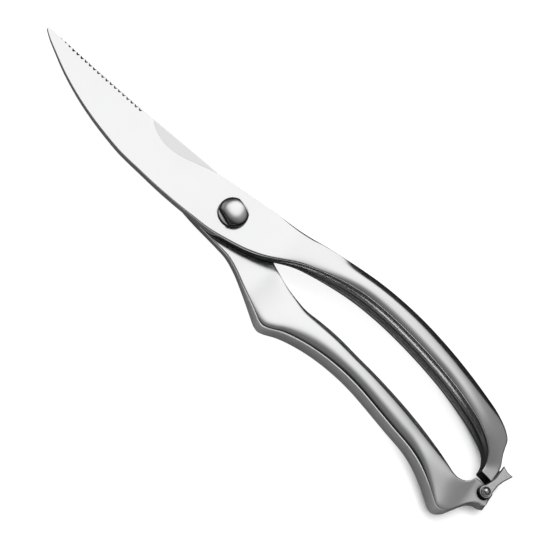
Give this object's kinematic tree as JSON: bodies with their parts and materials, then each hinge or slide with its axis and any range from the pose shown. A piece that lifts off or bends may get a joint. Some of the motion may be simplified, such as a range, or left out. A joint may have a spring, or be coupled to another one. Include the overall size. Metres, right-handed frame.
{
  "type": "poultry shears",
  "caption": "Spring-loaded poultry shears: curved blades with a serrated edge and bone notch, arched steel handles and a swinging latch clip.",
  "frame": {"origin": "on the pivot axis, at the flat end of the pivot bolt's shank, the lowest point of the shears as they lie flat", "axes": "+X from the pivot towards the handle ends (the blade tips point to -X), +Y towards the front half's handle, +Z along the pivot axis towards the domed bolt head"},
  "size_m": [0.2482, 0.0525, 0.0141],
  "materials": {
    "front_half": "satin steel, bright ground blade face",
    "rear_half": "satin steel",
    "pivot_bolt": "polished steel",
    "pivot_nut": "polished steel",
    "pivot_washer": "plain steel",
    "torsion_spring": "drawn spring wire",
    "latch_clip": "stamped sheet steel, slightly grainy",
    "latch_rivet": "polished steel"
  },
  "bodies": {
    "rear": {"rear_half": "rear_half", "pivot_bolt": "pivot_bolt", "pivot_nut": "pivot_nut", "pivot_washer": "pivot_washer", "torsion_spring": "torsion_spring", "latch_rivet": "latch_rivet"},
    "front": {"front_half": "front_half"},
    "latch": {"latch_clip": "latch_clip"}
  },
  "joints": [
    {"name": "blade_pivot", "type": "hinge", "parent": "rear", "child": "front", "pos_m": [0, 0, 0.0069], "axis": [0, 0, 1], "range_deg": [0, 32], "deforming": ["torsion_spring"]},
    {"name": "latch_pivot", "type": "hinge", "parent": "rear", "child": "latch", "pos_m": [0.1423, -0.0088, 0.0069], "axis": [0, 0, 1], "range_deg": [-150, 0]}
  ]
}
